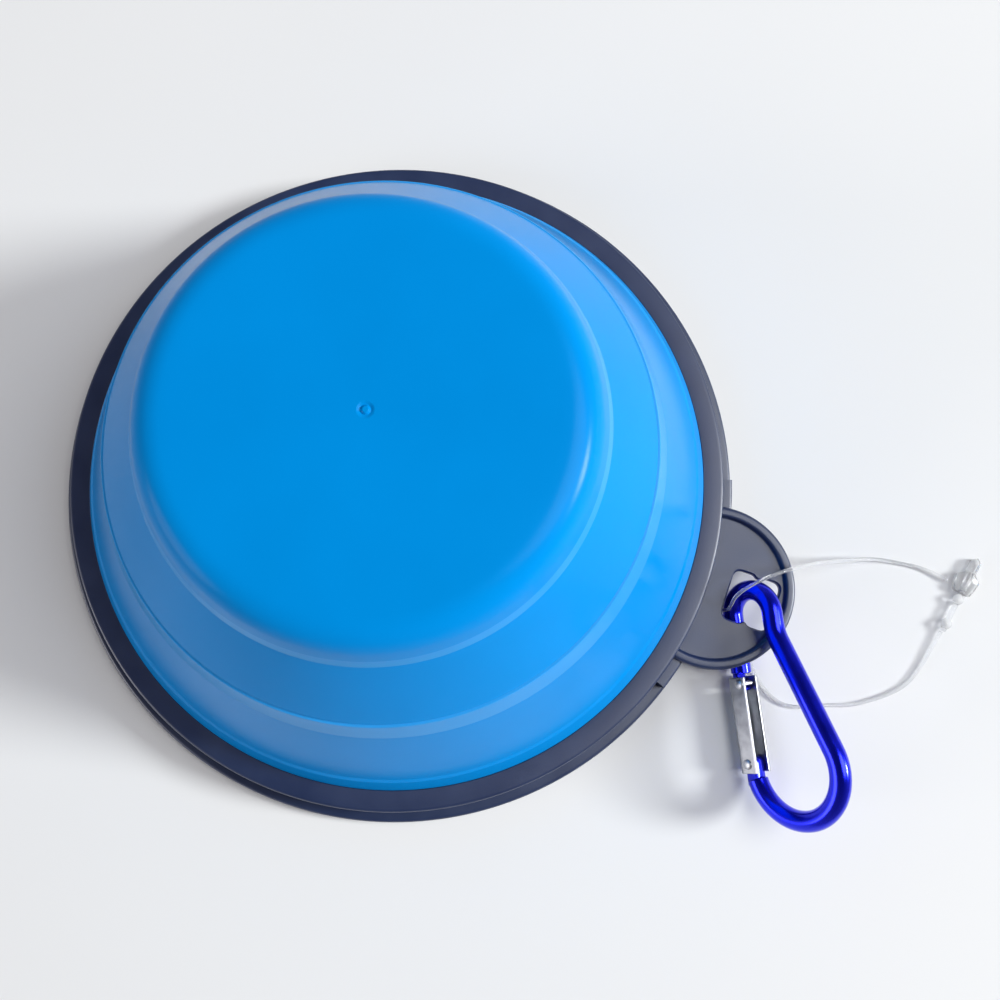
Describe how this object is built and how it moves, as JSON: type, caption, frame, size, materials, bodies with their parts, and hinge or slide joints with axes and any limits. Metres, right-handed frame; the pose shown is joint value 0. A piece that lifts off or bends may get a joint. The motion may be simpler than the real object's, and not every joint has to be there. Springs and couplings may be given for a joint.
{
  "type": "collapsible pet bowl",
  "caption": "Round collapsible pet bowl with a soft folding wall, stiff rim with a hang tab, clip-on carabiner and clear tag loop, shown mouth down.",
  "frame": {"origin": "middle of the base's outer flat face, on the bowl's axis", "axes": "+Z out of the base along the bowl's axis, up as the bowl lies mouth down; +X from the axis through the hang tab"},
  "size_m": [0.1787, 0.13, 0.0579],
  "materials": {
    "rim_plastic": "fine satin moulding, near black",
    "bowl_rubber": "satin soft moulding",
    "carabiner_blue": "blue anodised, glossy",
    "gate_metal": "plain sheet",
    "pin_steel": "plain",
    "tag_clear": "clear, natural"
  },
  "bodies": {
    "rim_body": {"rim": "rim_plastic", "rim_wall": "bowl_rubber", "outer_fold": "bowl_rubber"},
    "ring_body": {"fold_ring": "bowl_rubber", "inner_fold": "bowl_rubber"},
    "base_body": {"base_cup": "bowl_rubber"},
    "carabiner": {"carabiner_body": "carabiner_blue", "gate_pivot_pin": "pin_steel", "tag_filament": "tag_clear", "tag_lock": "tag_clear", "tag_plug": "tag_clear"},
    "gate": {"gate_channel": "gate_metal", "gate_latch_pin": "pin_steel", "gate_spring": "pin_steel"}
  },
  "joints": [
    {"name": "ring_fold", "type": "slide", "parent": "rim_body", "child": "ring_body", "axis": [0, 0, 1], "range_m": [-0.0236, 0], "deforming": ["outer_fold"]},
    {"name": "base_fold", "type": "slide", "parent": "ring_body", "child": "base_body", "axis": [0, 0, 1], "range_m": [-0.0202, 0], "deforming": ["inner_fold"]},
    {"name": "carabiner_swivel", "type": "hinge", "parent": "rim_body", "child": "carabiner", "pos_m": [0.06983, 0.00146, -0.0517], "axis": [0, 0, 1], "range_deg": [-4, 25]},
    {"name": "gate_hinge", "type": "hinge", "parent": "carabiner", "child": "gate", "pos_m": [0.08179, -0.02834, -0.0548], "axis": [0.7277, 0.3534, -0.5878], "range_deg": [0, 24], "stiffness_Nm_per_rad": 0.02, "springref_deg": -5.73, "deforming": ["gate_spring"]}
  ]
}
